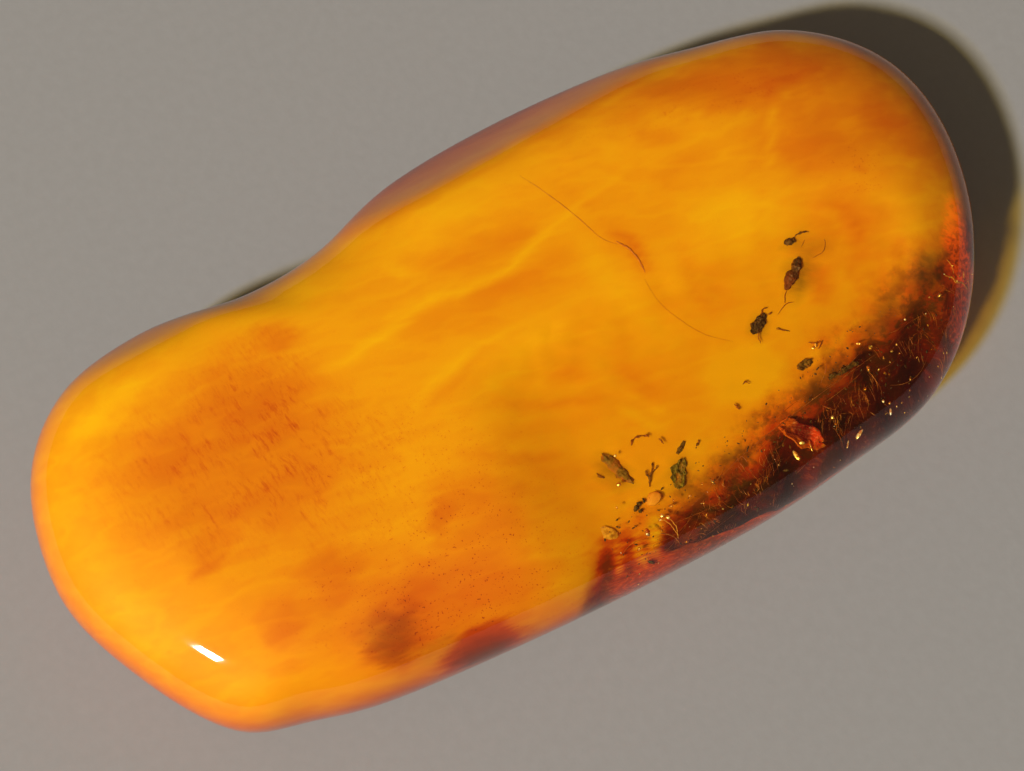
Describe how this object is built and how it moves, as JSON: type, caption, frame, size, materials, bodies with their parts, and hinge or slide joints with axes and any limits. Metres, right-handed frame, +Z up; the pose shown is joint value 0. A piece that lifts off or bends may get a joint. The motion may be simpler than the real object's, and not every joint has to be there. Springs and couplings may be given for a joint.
{
  "type": "plant in amber",
  "caption": "Polished natural amber nugget, milky yellow with a clear red-brown edge, with bits of seed, leaf, bark and twig sealed inside.",
  "frame": {"origin": "the middle of the nugget's box in plan, on the surface that it lies on", "axes": "+X along the nugget's long axis, +Y across it towards the milky edge, +Z up from its rest flat"},
  "size_m": [0.072, 0.0358, 0.0135],
  "materials": {
    "amber": "hand polished natural amber, milky yellow to clear red-brown",
    "dark_plant": "dark, dry bark and husk",
    "brown_plant": "brown, dry stalk and bud",
    "green_leaf": "olive green, dry leaf",
    "pale_wood": "pale, ribbed wood",
    "red_bract": "red-orange, papery bract"
  },
  "bodies": {
    "root": {"amber_lower": "amber", "amber_upper": "amber", "seed_husk": "dark_plant", "bud": "brown_plant", "bark_chip": "dark_plant", "needle": "brown_plant", "green_leaf_scrap": "green_leaf", "olive_leaf_scrap": "green_leaf", "small_leaf": "green_leaf", "long_twig": "dark_plant", "short_twig": "brown_plant", "leaf_stalk": "brown_plant", "curled_stem": "brown_plant", "dark_twig": "dark_plant", "sprig": "brown_plant", "wood_chip": "pale_wood", "bract": "red_bract"}
  },
  "joints": []
}
